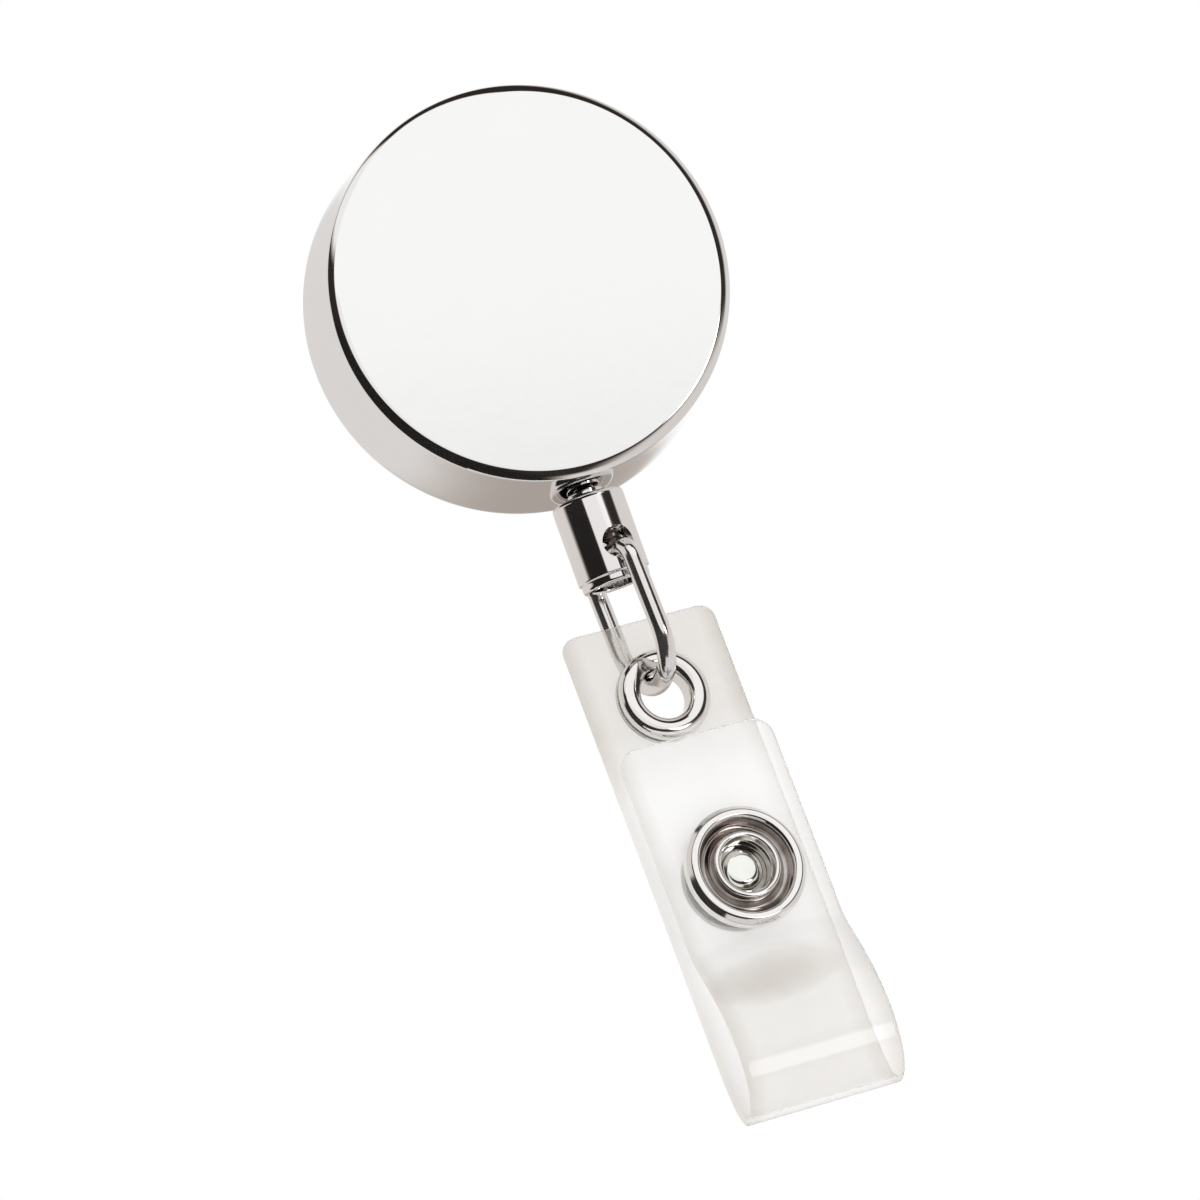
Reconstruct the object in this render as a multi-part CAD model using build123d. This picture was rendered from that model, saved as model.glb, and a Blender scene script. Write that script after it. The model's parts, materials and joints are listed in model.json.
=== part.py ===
"""Retractable badge reel: a round chromed case with a sprung cord spool, and a swivel barrel that carries
a wire link and a clear vinyl strap closed by a ring snap.

Frame, in millimetres: +Z up, the polished face looks along -Y, +X is to its right. The origin is on the
case's axis, in the plane of the back cover's outer face, where the belt clip seats.
"""
from build123d import *
import math
import os

# Case
CASE_R = 16.0
CASE_DEPTH = 12.6
SHELL_T = 0.7
FACE_R = 14.65
CORNER_R = 15.45
CORNER_DEPTH = 0.5
WALL_MID_R = 15.85
BACK_ROUND_R = 4.0
BACK_STEP_R = 11.55
BACK_T = 0.8
MID_Y = -CASE_DEPTH / 2

# Spool, its post and its spring
POST_R = 2.5
POST_BASE_R = 4.0
POST_TIP_Y = -11.0
POST_SLOT = 0.5
RUNNING_FIT = 0.05
SPOOL_BACK_Y = -2.0
SPOOL_FRONT_Y = -10.6
FLANGE_R = 13.0
FLANGE_T = 0.8
DRUM_R = 8.6
DRUM_T = 1.0
SPRING_T = 0.2
SPRING_PITCH = 0.5
SPRING_TURNS = 9
SPRING_START_R = 2.85
SPRING_W = 6.4
SPRING_HOOK_W = 6.0
SPRING_NOTCH = 0.5
NOTCH_DEPTH = 0.6
VENT_R = 0.8
VENT_CENTRE_R = 5.0

# Cord
CORD_R = 0.45
WINDING_R = 10.2
WINDING_ROWS = 7
CORD_BEND_Z = -13.4
CORD_BEND_R = 2.7

# Exit bushing and swivel barrel
BUSHING_BORE_R = 0.65
BUSHING_R = 1.4
BUSHING_FLANGE_R = 2.4
BUSHING_FLANGE_T = 0.55
BUSHING_END_Z = -15.98
BUSHING_TOP_Z = -14.2
BARREL_R = 2.83
BARREL_TOP_Z = -16.12
BARREL_END_Z = -23.2
BARREL_BORE_R = 1.9
BARREL_ROOF_T = 1.0
STOP_R = 1.6
STOP_LENGTH = 1.8
CROSS_HOLE_R = 1.3
CROSS_HOLE_Z = -20.4

# Wire link
WIRE_R = 0.725
LINK_HALF_W = 3.85
LINK_SHOULDER_R = 1.2
LINK_END_GAP = 0.3
LINK_PIVOT_Z = -20.87
LINK_BOTTOM_Z = -31.4
LINK_BEND_Z = LINK_BOTTOM_Z + LINK_HALF_W

# Eyelet in the strap
EYELET_Z = -32.3
EYELET_BORE_R = 1.95
EYELET_BARREL_R = 2.35
EYELET_FLANGE_R = 3.6
EYELET_FLANGE_H = 0.95
EYELET_ROLL_R = 3.1
EYELET_ROLL_H = 0.5
EYELET_WASHER_T = 0.3
EYELET_HANG_GAP = 0.25

# Strap: a clear vinyl strip folded up at the front and snapped to itself
STRAP_W = 12.8
STRAP_T = 0.5
TAB_TOP_Z = -26.1
TAB_CORNER_R = 1.0
FLAP_TOP_Z = -36.35
FLAP_CORNER_R = 1.5
FLAP_Y = -2.4
FLAP_FRONT_Y = FLAP_Y - STRAP_T / 2
FLAP_BACK_Y = FLAP_Y + STRAP_T / 2
PANEL_FOLD_FROM_Z = -62.9
PANEL_FOLD_MID = (-0.5, -64.5)
BELLY = ((-3.65, -63.7), (-4.2, -61.2), (-3.4, -57.4))
BELLY_FROM_Z = -53.9
FOLD_Y = -1.9
FOLD_Z = -65.15
FOLD_GAP = 0.1

# Ring snap
SNAP_Z = -47.45
RING_R = 4.75
RING_BORE_R = 2.0
RING_TUBE_R = 2.35
SOCKET_R = 3.9
STUD_HEAD_R = 1.55
STUD_NECK_R = 1.3
STUD_TUBE_R = 1.2
STUD_TUBE_T = 0.3
STUD_TIP_Y = -2.0
BEAD_TOP = (4.25, 1.05)
VALLEY_R = (3.75, 2.9)
VALLEY_H = (0.4, 0.3)
LIP_TOP = (2.45, 1.3)
BORE_LIP_H = 0.7
CUP_R = 1.85
CUP_MOUTH_Y = -0.75
DOME_H = 0.35
CAP_R = 4.0
CAP_H = 0.85
SNAP_WIRE_R = 0.18
SNAP_WIRE_Y = -1.15

# Belt clip and its rivet
CLIP_W = 11.0
CLIP_T = 0.8
CLIP_GAP = 5.2
CLIP_SEAT_Z = -7.0
CLIP_BEND_Z = 9.5
CLIP_LEG_END_Z = -1.0
CLIP_DIP = (5.3, -5.4)
CLIP_CREASE = (2.9, -8.5)
CLIP_LIP = (5.2, -11.3)
CLIP_CORNER_R = 2.0
RIVET_R = 1.2
RIVET_HEAD_R = 2.4
RIVET_HEAD_H = 0.75
RIVET_TIP_Y = -2.6

# How the hanging pieces sit at rest
BARREL_TURN_DEG = 13.0
LINK_SWING_DEG = 2.0
STRAP_TURN_DEG = 9.0
STRAP_SWING_DEG = 1.5
STRAP_LEAN_DEG = 6.2
FACE_GAP = 0.03

HANG = Location((0, MID_Y, 0), (0, 0, BARREL_TURN_DEG))
LINK = HANG * Pos(0, 0, LINK_PIVOT_Z) * Rot(0, -LINK_SWING_DEG, 0) * Pos(0, 0, -LINK_PIVOT_Z)
EYELET_CENTRE = (LINK * Pos(0, 0, LINK_BOTTOM_Z + WIRE_R + EYELET_HANG_GAP - EYELET_BORE_R)).position
STRAP_TURN = Rot(0, 0, STRAP_TURN_DEG) * Rot(0, STRAP_SWING_DEG, 0) * Rot(-STRAP_LEAN_DEG, 0, 0)
STRAP = Pos(*EYELET_CENTRE) * STRAP_TURN * Pos(0, 0, -EYELET_Z)


def ring_y(r_in, r_out, y_from, y_to):
    """A plain ring about the Y axis, or a disc where r_in is 0."""
    low, high = sorted((y_from, y_to))
    outline = Polyline((r_in, low), (r_out, low), (r_out, high), (r_in, high), close=True)
    return revolve(make_face(outline), Axis.Y)


def ring_z(r_in, r_out, z_from, z_to):
    """A plain ring about the Z axis, or a disc where r_in is 0."""
    low, high = sorted((z_from, z_to))
    outline = Polyline((r_in, low), (r_out, low), (r_out, high), (r_in, high), close=True)
    return revolve(Plane.XZ * make_face(outline), Axis.Z)


def pin_y(r, y_from, y_to, z=0.0):
    """A round pin along Y at height z."""
    return Pos(0, 0, z) * ring_y(0, r, y_from, y_to)


def cap_arc(edge_r, edge_y, top_y):
    """The profile of a spherical cap, from its edge to its top on the Y axis."""
    rise = top_y - edge_y
    radius = (edge_r**2 + rise**2) / (2 * abs(rise))
    half_turn = math.asin(edge_r / radius) / 2
    back_off = math.copysign(radius, rise)
    mid = (radius * math.sin(half_turn), top_y - back_off + back_off * math.cos(half_turn))
    return ThreePointArc((edge_r, edge_y), mid, (0, top_y))


def front_cover():
    """The drawn cup: flat face, tight corner, tapered wall, and a rim curled in over the back cover."""
    front_y = -CASE_DEPTH
    curl_y = -BACK_ROUND_R
    curl_r = CASE_R - BACK_ROUND_R
    inner_r = BACK_ROUND_R - SHELL_T
    diagonal = math.sqrt(0.5)
    wall_foot = (CORNER_R, front_y + CORNER_DEPTH)
    outer_corner = TangentArc((FACE_R, front_y), wall_foot, tangent=(1, 0))
    outer_wall = ThreePointArc(wall_foot, (WALL_MID_R, MID_Y), (CASE_R, curl_y))
    outer_curl = ThreePointArc(
        (CASE_R, curl_y),
        (curl_r + BACK_ROUND_R * diagonal, curl_y + BACK_ROUND_R * diagonal),
        (curl_r, 0),
    )
    inner_curl = ThreePointArc(
        (curl_r, -SHELL_T),
        (curl_r + inner_r * diagonal, curl_y + inner_r * diagonal),
        (CASE_R - SHELL_T, curl_y),
    )
    outline = [
        Line((0, front_y), (FACE_R, front_y)),
        outer_corner,
        outer_wall,
        outer_curl,
        Line((curl_r, 0), (curl_r, -SHELL_T)),
        inner_curl,
        Line((CASE_R - SHELL_T, curl_y), (CORNER_R - SHELL_T, front_y + 2 * SHELL_T)),
        Line((CORNER_R - SHELL_T, front_y + 2 * SHELL_T), (FACE_R - SHELL_T, front_y + SHELL_T)),
        Line((FACE_R - SHELL_T, front_y + SHELL_T), (0, front_y + SHELL_T)),
        Line((0, front_y + SHELL_T), (0, front_y)),
    ]
    shell = revolve(make_face(outline), Axis.Y)
    exit_hole = Pos(0, MID_Y, 0) * ring_z(0, BUSHING_R, -CASE_R - 1, -CASE_R + 3)
    return shell - exit_hole


def back_cover():
    """The pressed back plate, whose turned rim nests inside the front cover's curl."""
    curl_y = -BACK_ROUND_R
    curl_r = CASE_R - BACK_ROUND_R
    nest_r = BACK_ROUND_R - SHELL_T
    under_r = nest_r - SHELL_T

    def on_curl(radius, degrees):
        turn = math.radians(degrees)
        return curl_r + radius * math.cos(turn), curl_y + radius * math.sin(turn)

    rim_end, rim_mid = 40, 65
    step_in_r = BACK_STEP_R - BACK_T
    outline = [
        Polyline((0, 0), (BACK_STEP_R, 0), (BACK_STEP_R, -SHELL_T), (curl_r, -SHELL_T)),
        ThreePointArc((curl_r, -SHELL_T), on_curl(nest_r, rim_mid), on_curl(nest_r, rim_end)),
        Line(on_curl(nest_r, rim_end), on_curl(under_r, rim_end)),
        ThreePointArc(on_curl(under_r, rim_end), on_curl(under_r, rim_mid), (curl_r, -2 * SHELL_T)),
        Polyline((curl_r, -2 * SHELL_T), (step_in_r, -2 * SHELL_T), (step_in_r, -BACK_T)),
        Polyline((step_in_r, -BACK_T), (0, -BACK_T), (0, 0)),
    ]
    plate = revolve(make_face(outline), Axis.Y)
    return plate - pin_y(RIVET_R, 1, -BACK_T - 1)


def axle_post():
    """The fixed post: base flange against the back cover, journal, and a slotted end for the spring's tab."""
    base = ring_y(0, POST_BASE_R, -BACK_T, -2 * BACK_T)
    journal = ring_y(0, POST_R, -BACK_T, POST_TIP_Y)
    post = chamfer((base + journal).edges().group_by(Axis.Y)[0], 0.3)
    slot_end_y = SPOOL_BACK_Y - FLANGE_T - 0.2
    slot_from_y = POST_TIP_Y - 1
    slot_box = Box(3 * POST_R, slot_end_y - slot_from_y, POST_SLOT)
    slot = Pos(0, (slot_from_y + slot_end_y) / 2, 0) * slot_box
    return post - slot - pin_y(RIVET_R, 0, RIVET_TIP_Y)


def thrust_washer():
    return ring_y(POST_R + RUNNING_FIT, 4.5, -2 * BACK_T - 0.05, SPOOL_BACK_Y + 0.05)


def spool():
    """Drum with two flanges. The spring lies inside the drum and the cord winds outside it."""
    back_flange = ring_y(POST_R + RUNNING_FIT, FLANGE_R, SPOOL_BACK_Y, SPOOL_BACK_Y - FLANGE_T)
    drum = ring_y(DRUM_R - DRUM_T, DRUM_R, SPOOL_BACK_Y, SPOOL_FRONT_Y)
    front_flange = ring_y(DRUM_R - DRUM_T, FLANGE_R, SPOOL_FRONT_Y + FLANGE_T, SPOOL_FRONT_Y)
    overcut = 0.3
    notch_box = Box(NOTCH_DEPTH + overcut, SPRING_W + 0.2, SPRING_NOTCH)
    notch = Pos(DRUM_R - DRUM_T + (NOTCH_DEPTH - overcut) / 2, MID_Y, 0) * notch_box
    body = back_flange + drum + front_flange
    rims = body.edges().filter_by(GeomType.CIRCLE).filter_by(lambda e: abs(e.radius - FLANGE_R) < 0.01)
    return chamfer(rims, 0.2) - notch


def spring_cover():
    """The disc that shuts the spring into the drum."""
    disc = ring_y(POST_R + RUNNING_FIT, DRUM_R - DRUM_T, SPOOL_FRONT_Y + 0.9, SPOOL_FRONT_Y + 0.2)
    vent = Pos(VENT_CENTRE_R, 0, 0) * pin_y(VENT_R, SPOOL_FRONT_Y - 1, SPOOL_FRONT_Y + 2)
    return disc - [Rot(0, turn, 0) * vent for turn in (30, 150, 270)]


def mainspring():
    """A flat spiral strip, with a tab across the post's slot and a hook in the drum's notch."""
    steps_per_turn = 12
    end_r = SPRING_START_R + SPRING_PITCH * SPRING_TURNS

    def edge(side):
        points = []
        for step in range(SPRING_TURNS * steps_per_turn + 1):
            turns = step / steps_per_turn
            r = SPRING_START_R + SPRING_PITCH * turns + side * SPRING_T / 2
            turn = 2 * math.pi * turns
            points.append((r * math.cos(turn), r * math.sin(turn)))
        return points

    inner, outer = edge(-1), edge(1)
    outline = [Spline(*inner), Line(inner[-1], outer[-1]), Spline(*outer), Line(outer[0], inner[0])]
    spiral = extrude(Plane.XZ * make_face(outline), SPRING_W / 2, both=True)
    tab_from_x, tab_to_x = -1.55, SPRING_START_R + 0.1
    tab = Pos((tab_from_x + tab_to_x) / 2, 0, 0) * Box(tab_to_x - tab_from_x, SPRING_W, SPRING_T)
    hook_from_x, hook_to_x = end_r - 0.1, end_r + 0.8
    hook = Pos((hook_from_x + hook_to_x) / 2, 0, 0) * Box(hook_to_x - hook_from_x, SPRING_HOOK_W, SPRING_T)
    return Pos(0, MID_Y, 0) * (spiral + tab + hook)


def cord_winding():
    """The wound cord as one ring, its outside scalloped like the rows of cord that lie side by side."""
    back_y = SPOOL_BACK_Y - FLANGE_T - 0.05
    front_y = SPOOL_FRONT_Y + FLANGE_T + 0.05
    pitch = (back_y - front_y) / WINDING_ROWS
    valley_r = WINDING_R - 0.25
    outline = [Polyline((valley_r, back_y), (DRUM_R, back_y), (DRUM_R, front_y), (valley_r, front_y))]
    for row in range(WINDING_ROWS):
        low = front_y + row * pitch
        outline.append(ThreePointArc((valley_r, low), (WINDING_R, low + pitch / 2), (valley_r, low + pitch)))
    return revolve(make_face(outline), Axis.Y)


def cord_tail():
    """The cord from the winding through the exit bushing to the stop in the barrel."""
    reach = WINDING_R + CORD_R + 0.05
    turn = math.acos(reach / -CORD_BEND_Z)
    leave = (reach * math.sin(turn), -reach * math.cos(turn))
    stop_top_z = BARREL_TOP_Z - BARREL_ROOF_T - FACE_GAP
    path = FilletPolyline(leave, (0, CORD_BEND_Z), (0, stop_top_z), radius=CORD_BEND_R)
    print("cord bend radius", CORD_BEND_R, "length", round(path.length, 2))
    path = Pos(0, MID_Y, 0) * (Plane.XZ * path)
    return sweep(Plane(path @ 0, z_dir=path % 0) * Circle(CORD_R), path=path)


def cord_stop():
    """The bead crimped on the cord's end, on which the barrel hangs and turns."""
    top_z = BARREL_TOP_Z - BARREL_ROOF_T - FACE_GAP
    bead = ring_z(0, STOP_R, top_z, top_z - STOP_LENGTH)
    return Pos(0, MID_Y, 0) * fillet(bead.edges().filter_by(GeomType.CIRCLE), 0.4)


def exit_bushing():
    """The bushing in the case wall: a flange inside the wall, and a tube whose end stands just proud."""
    tube = ring_z(BUSHING_BORE_R, BUSHING_R, BUSHING_TOP_Z, BUSHING_END_Z)
    flange = ring_z(BUSHING_BORE_R, BUSHING_FLANGE_R, BUSHING_TOP_Z, BUSHING_TOP_Z - BUSHING_FLANGE_T)
    return Pos(0, MID_Y, 0) * (tube + flange)


def barrel():
    """The turned swivel barrel: roof with the cord hole, open bore below it, and the link's cross hole."""
    body = ring_z(0, BARREL_R, BARREL_TOP_Z, BARREL_END_Z)
    body = fillet(body.edges().group_by(Axis.Z)[-1], 0.35)
    body = chamfer(body.edges().group_by(Axis.Z)[0], 0.3)
    cord_hole = ring_z(0, BUSHING_BORE_R, BARREL_TOP_Z + 1, BARREL_END_Z)
    bore = ring_z(0, BARREL_BORE_R, BARREL_TOP_Z - BARREL_ROOF_T, BARREL_END_Z - 1)
    cross_hole = pin_y(CROSS_HOLE_R, -CASE_R, CASE_R, CROSS_HOLE_Z)
    return HANG * (body - cord_hole - bore - cross_hole)


def wire_link():
    """The bent wire: two ends that meet in the cross hole, two legs, and the bend that carries the eyelet."""
    shoulder = LINK_SHOULDER_R * math.sqrt(0.5)

    def half(side):
        """One half of the centre line, from the wire's end in the barrel to the bottom of the bend."""
        start = (side * LINK_END_GAP / 2, LINK_PIVOT_Z)
        bend_from = (side * (LINK_HALF_W - LINK_SHOULDER_R), LINK_PIVOT_Z)
        bend_mid = (
            side * (LINK_HALF_W - LINK_SHOULDER_R + shoulder),
            LINK_PIVOT_Z - LINK_SHOULDER_R + shoulder,
        )
        leg_top = (side * LINK_HALF_W, LINK_PIVOT_Z - LINK_SHOULDER_R)
        leg_end = (side * LINK_HALF_W, LINK_BEND_Z)
        low_mid = (side * LINK_HALF_W * math.sqrt(0.5), LINK_BEND_Z - LINK_HALF_W * math.sqrt(0.5))
        return [
            Line(start, bend_from),
            ThreePointArc(bend_from, bend_mid, leg_top),
            Line(leg_top, leg_end),
            ThreePointArc(leg_end, low_mid, (0, LINK_BOTTOM_Z)),
        ]

    path = Plane.YZ * Wire(half(-1) + half(1))
    start = path @ 0
    wire = sweep(Plane(start, z_dir=path % 0) * Circle(WIRE_R), path=path)
    return LINK * wire


def eyelet():
    """The metal eyelet: a rounded front flange, a barrel through the strap, and a smaller rolled back rim."""
    half_t = STRAP_T / 2 + FACE_GAP
    front_y = -half_t - EYELET_FLANGE_H
    washer_y = half_t + EYELET_WASHER_T
    roll_mid = ((EYELET_BORE_R + EYELET_ROLL_R) / 2, washer_y + EYELET_ROLL_H)
    outline = [
        Line((EYELET_BORE_R, 0), (EYELET_BORE_R, -half_t)),
        ThreePointArc(
            (EYELET_BORE_R, -half_t),
            ((EYELET_BORE_R + EYELET_FLANGE_R) / 2 - 0.1, front_y),
            (EYELET_FLANGE_R, -half_t),
        ),
        Line((EYELET_FLANGE_R, -half_t), (EYELET_BARREL_R, -half_t)),
        Line((EYELET_BARREL_R, -half_t), (EYELET_BARREL_R, washer_y)),
        Line((EYELET_BARREL_R, washer_y), (EYELET_ROLL_R, washer_y)),
        ThreePointArc((EYELET_ROLL_R, washer_y), roll_mid, (EYELET_BORE_R, washer_y)),
        Line((EYELET_BORE_R, washer_y), (EYELET_BORE_R, 0)),
    ]
    return STRAP * Pos(0, 0, EYELET_Z) * revolve(make_face(outline), Axis.Y)


def eyelet_washer():
    half_t = STRAP_T / 2 + FACE_GAP
    washer = ring_y(EYELET_BARREL_R, EYELET_FLANGE_R, half_t, half_t + EYELET_WASHER_T)
    return STRAP * Pos(0, 0, EYELET_Z) * washer


def strip(centre_line):
    """A strip of strap along a centre line given in the strap's side plane."""
    section = Plane.YZ * trace(centre_line, STRAP_T)
    return extrude(section, STRAP_W / 2, both=True)


def round_top_corners(piece, top_z, corner_r):
    """The piece with the two corners of its top edge rounded."""
    corner_box = Box(corner_r, STRAP_W, corner_r)
    corner_pin = pin_y(corner_r, -STRAP_W, STRAP_W, top_z - corner_r)
    for side in (-1, 1):
        square = Pos(side * (STRAP_W - corner_r) / 2, 0, top_z - corner_r / 2) * corner_box
        disc = Pos(side * (STRAP_W / 2 - corner_r), 0, 0) * corner_pin
        piece -= square - disc
    return piece


def strap_panel():
    """The tab and the back layer, down to the lowest line of the fold."""
    fold_from = (0, PANEL_FOLD_FROM_Z)
    fold_end = (FOLD_Y + FOLD_GAP, FOLD_Z)
    line = Line((0, TAB_TOP_Z), fold_from)
    fold = Spline(fold_from, PANEL_FOLD_MID, fold_end, tangents=((0, -1), (-1, 0)))
    panel = strip(Wire([line, fold]))
    panel = round_top_corners(panel, TAB_TOP_Z, TAB_CORNER_R)
    panel -= pin_y(EYELET_BARREL_R + RUNNING_FIT, -1, 1, EYELET_Z)
    return STRAP * (panel - pin_y(STUD_TUBE_R, -1, 1, SNAP_Z))


def strap_flap():
    """The front half of the fold, the belly, and the flap that carries the ring snap."""
    belly_top = (FLAP_Y, BELLY_FROM_Z)
    fold = Spline((FOLD_Y, FOLD_Z), *BELLY, belly_top, tangents=((-1, 0), (0, 1)))
    flap = strip(Wire([fold, Line(belly_top, (FLAP_Y, FLAP_TOP_Z))]))
    flap = round_top_corners(flap, FLAP_TOP_Z, FLAP_CORNER_R)
    return STRAP * (flap - pin_y(RING_TUBE_R, FLAP_Y - 1, FLAP_Y + 1, SNAP_Z))


def socket_ring():
    """The snap's open ring on the flap: outer bead, valley and inner lip, with a tube through the flap."""
    y = FLAP_FRONT_Y
    outer_valley = (VALLEY_R[0], y - VALLEY_H[0])
    inner_valley = (VALLEY_R[1], y - VALLEY_H[0])
    valley_mid = (sum(VALLEY_R) / 2, y - VALLEY_H[1])
    bore_lip = (RING_BORE_R, y - BORE_LIP_H)
    outline = [
        Line((RING_TUBE_R, y), (RING_R, y)),
        ThreePointArc((RING_R, y), (BEAD_TOP[0], y - BEAD_TOP[1]), outer_valley),
        ThreePointArc(outer_valley, valley_mid, inner_valley),
        ThreePointArc(inner_valley, (LIP_TOP[0], y - LIP_TOP[1]), bore_lip),
        Polyline(bore_lip, (RING_BORE_R, FLAP_BACK_Y), (RING_TUBE_R, FLAP_BACK_Y), (RING_TUBE_R, y)),
    ]
    return STRAP * Pos(0, 0, SNAP_Z) * revolve(make_face(outline), Axis.Y)


def snap_socket():
    """The cup behind the flap that the stud clicks into. Its domed end shows at the bottom of the ring."""
    roof_y = FLAP_BACK_Y - 0.3
    dome_top_y = roof_y - DOME_H
    inner_roof_y = FLAP_BACK_Y + 0.05
    outline = [
        Polyline((CUP_R, CUP_MOUTH_Y), (SOCKET_R, CUP_MOUTH_Y), (SOCKET_R, FLAP_BACK_Y)),
        Polyline((SOCKET_R, FLAP_BACK_Y), (RING_BORE_R, FLAP_BACK_Y), (RING_BORE_R, roof_y)),
        cap_arc(RING_BORE_R, roof_y, dome_top_y),
        Polyline((0, dome_top_y), (0, roof_y + 0.1), (CUP_R, inner_roof_y), (CUP_R, CUP_MOUTH_Y)),
    ]
    cup = revolve(make_face(outline), Axis.Y)
    rims = cup.edges().filter_by(GeomType.CIRCLE).filter_by(lambda e: abs(e.radius - SOCKET_R) < 0.01)
    return STRAP * Pos(0, 0, SNAP_Z) * fillet(rims.group_by(Axis.Y)[-1], 0.3)


def snap_spring():
    """The split wire ring in the socket that grips the stud's neck."""
    centre_r = STUD_NECK_R + 0.06 + SNAP_WIRE_R
    ring = Pos(0, SNAP_WIRE_Y, 0) * (Rot(90, 0, 0) * Torus(centre_r, SNAP_WIRE_R))
    split = Pos(0, SNAP_WIRE_Y, -STUD_NECK_R) * Box(0.6, 1, 1.2)
    return STRAP * Pos(0, 0, SNAP_Z) * (ring - split)


def snap_stud():
    """The stud on the back layer: flange, neck and rounded head."""
    face_y = -STRAP_T / 2
    flange_r = 3.6
    flange_y = face_y - 0.35
    bore_r = STUD_TUBE_R - STUD_TUBE_T
    neck_end = (STUD_NECK_R, STUD_TIP_Y + 0.65)
    head_end = (STUD_HEAD_R - 0.25, STUD_TIP_Y + 0.1)
    outline = [
        Polyline((bore_r, face_y), (flange_r, face_y), (flange_r, flange_y), (STUD_NECK_R, flange_y)),
        Line((STUD_NECK_R, flange_y), neck_end),
        ThreePointArc(neck_end, (STUD_HEAD_R, STUD_TIP_Y + 0.4), head_end),
        Polyline(head_end, (bore_r, STUD_TIP_Y), (bore_r, face_y)),
    ]
    return STRAP * Pos(0, 0, SNAP_Z) * revolve(make_face(outline), Axis.Y)


def stud_post():
    """The rivet behind the back layer: a low domed cap and a post up into the stud."""
    face_y = STRAP_T / 2
    cap = [
        Line((0, face_y), (CAP_R, face_y)),
        cap_arc(CAP_R, face_y, face_y + CAP_H),
        Line((0, face_y + CAP_H), (0, face_y)),
    ]
    dome = revolve(make_face(cap), Axis.Y)
    shoulder = ring_y(0, STUD_TUBE_R, face_y, -STRAP_T / 2)
    post = ring_y(0, STUD_TUBE_R - STUD_TUBE_T, -STRAP_T / 2, STUD_TIP_Y + 0.3)
    return STRAP * Pos(0, 0, SNAP_Z) * (dome + shoulder + post)


def belt_clip():
    """The spring-steel slide-on clip: seat leg, top bend, sprung leg, contact crease and flared lip."""
    seat_y = CLIP_T / 2
    leg_y = CLIP_T + CLIP_GAP + CLIP_T / 2
    bend_r = (leg_y - seat_y) / 2
    seat_top = (seat_y, CLIP_BEND_Z)
    leg_top = (leg_y, CLIP_BEND_Z)
    leg_end = (leg_y, CLIP_LEG_END_Z)
    route = [
        Line((seat_y, CLIP_SEAT_Z), seat_top),
        ThreePointArc(seat_top, (seat_y + bend_r, CLIP_BEND_Z + bend_r), leg_top),
        Line(leg_top, leg_end),
        ThreePointArc(leg_end, CLIP_DIP, CLIP_CREASE),
        Line(CLIP_CREASE, CLIP_LIP),
    ]
    clip = extrude(Plane.YZ * trace(Wire(route), CLIP_T), CLIP_W / 2, both=True)
    seat_corners = clip.edges().filter_by(Axis.Y).filter_by(lambda e: e.center().Z < CLIP_SEAT_Z + 0.5)
    clip = fillet(seat_corners, CLIP_CORNER_R)
    return clip - pin_y(RIVET_R, -1, 2)


def clip_rivet():
    """The rivet that holds the clip, the back cover and the post together."""
    head = ring_y(0, RIVET_HEAD_R, CLIP_T, CLIP_T + RIVET_HEAD_H)
    head = fillet(head.edges().group_by(Axis.Y)[-1], 0.5)
    return head + ring_y(0, RIVET_R, CLIP_T, RIVET_TIP_Y)


PARTS = [
    front_cover, back_cover, axle_post, thrust_washer, spool, spring_cover, mainspring, cord_winding,
    cord_tail, cord_stop, exit_bushing, belt_clip, clip_rivet, barrel, wire_link, eyelet, eyelet_washer,
    strap_panel, strap_flap, socket_ring, snap_socket, snap_spring, snap_stud, stud_post,
]

os.makedirs("parts", exist_ok=True)
for make_part in PARTS:
    export_step(make_part(), f"parts/{make_part.__name__}.step")

link_axes = Plane(LINK)
strap_axes = Plane(STRAP)
print("link bend centre", (LINK * Pos(0, 0, LINK_BEND_Z)).position, "link X", link_axes.x_dir)
print("barrel Y", Plane(HANG).y_dir, "link Y", link_axes.z_dir.cross(link_axes.x_dir))
print("eyelet centre", EYELET_CENTRE, "strap Y", strap_axes.z_dir.cross(strap_axes.x_dir))
print("fold line", (STRAP * Pos(0, FOLD_Y, FOLD_Z - STRAP_T / 2)).position, "strap X", strap_axes.x_dir)
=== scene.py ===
import json
import math

import bmesh
import bpy
from mathutils import Matrix, Vector


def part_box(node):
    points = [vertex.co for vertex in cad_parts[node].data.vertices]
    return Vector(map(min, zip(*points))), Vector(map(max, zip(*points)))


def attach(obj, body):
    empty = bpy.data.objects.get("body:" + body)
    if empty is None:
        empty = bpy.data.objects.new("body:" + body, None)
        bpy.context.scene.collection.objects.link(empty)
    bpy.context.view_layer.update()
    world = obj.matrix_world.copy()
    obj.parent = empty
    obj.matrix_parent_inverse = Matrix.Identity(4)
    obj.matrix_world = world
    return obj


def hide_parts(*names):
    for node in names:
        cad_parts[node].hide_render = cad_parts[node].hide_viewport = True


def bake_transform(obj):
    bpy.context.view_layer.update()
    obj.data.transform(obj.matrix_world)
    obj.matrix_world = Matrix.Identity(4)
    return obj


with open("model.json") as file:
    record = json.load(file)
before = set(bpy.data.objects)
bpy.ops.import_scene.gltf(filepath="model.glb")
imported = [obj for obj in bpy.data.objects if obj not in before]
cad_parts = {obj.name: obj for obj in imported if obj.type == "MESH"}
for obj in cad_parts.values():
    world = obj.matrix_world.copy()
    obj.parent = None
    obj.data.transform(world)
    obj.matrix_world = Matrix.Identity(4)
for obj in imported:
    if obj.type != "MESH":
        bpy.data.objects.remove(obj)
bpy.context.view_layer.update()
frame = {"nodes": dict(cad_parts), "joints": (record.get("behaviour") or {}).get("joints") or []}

MM = 0.001
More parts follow.
